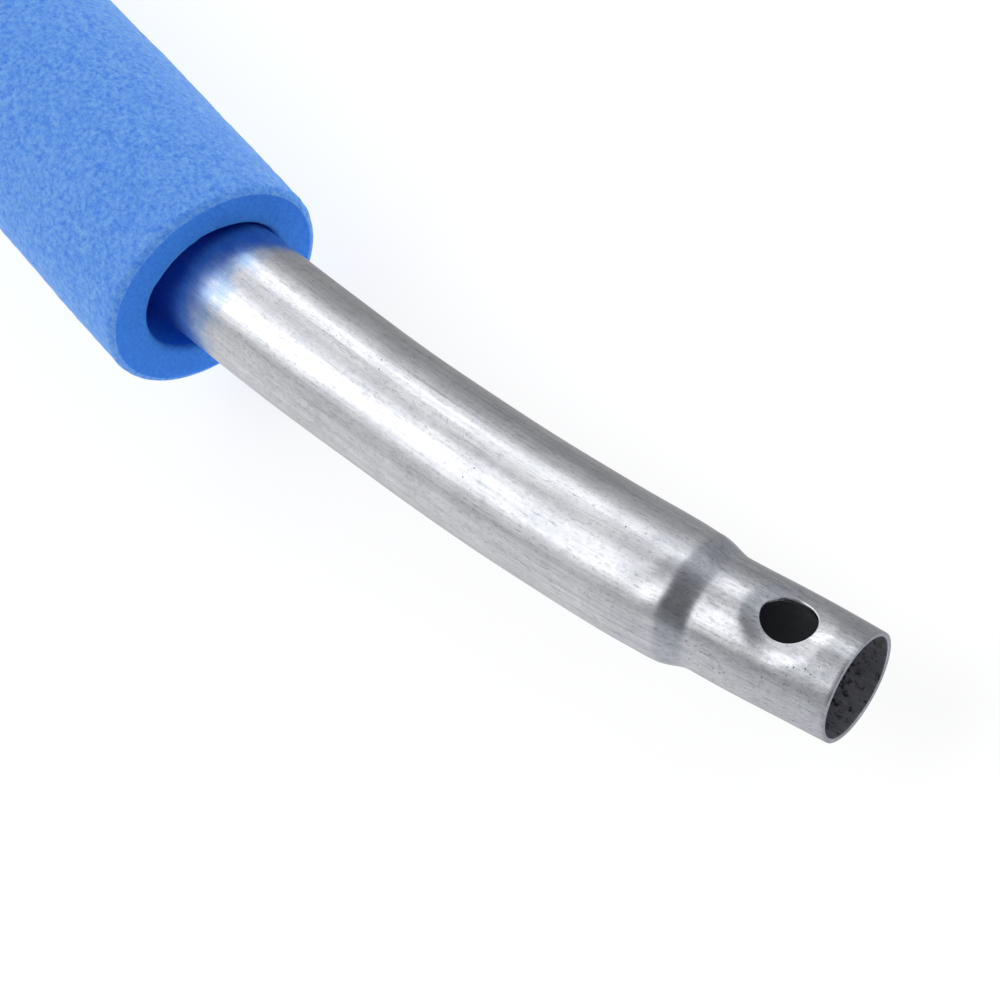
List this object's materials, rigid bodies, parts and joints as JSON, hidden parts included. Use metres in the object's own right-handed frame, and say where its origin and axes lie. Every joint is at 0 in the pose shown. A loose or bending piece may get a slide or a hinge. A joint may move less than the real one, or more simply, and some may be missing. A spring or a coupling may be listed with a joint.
{
  "type": "padded pole section",
  "caption": "Gently bent steel tube pole in a loose foam sleeve, with a narrowed spigot end that has a cross hole, and a domed cap.",
  "frame": {"origin": "where the cross hole's axis meets the spigot's axis, 13 mm inside the spigot's open mouth", "axes": "+X out of the spigot's mouth along its axis, +Y towards the side that the pole bends to, +Z square to the plane of the bend; the padded run leaves towards -X and +Y"},
  "size_m": [0.6413, 0.1835, 0.0476],
  "materials": {
    "galvanised_steel": "bright zinc with draw lines",
    "foam": "matt closed-cell foam",
    "cap_plastic": "satin moulded"
  },
  "bodies": {
    "pole": {"pole_tube": "galvanised_steel", "top_cap": "cap_plastic"},
    "sleeve": {"foam_sleeve": "foam"}
  },
  "joints": [
    {"name": "sleeve_slide", "type": "slide", "parent": "pole", "child": "sleeve", "axis": [-0.9593, 0.2825, 0], "range_m": [0, 0.0149]}
  ]
}
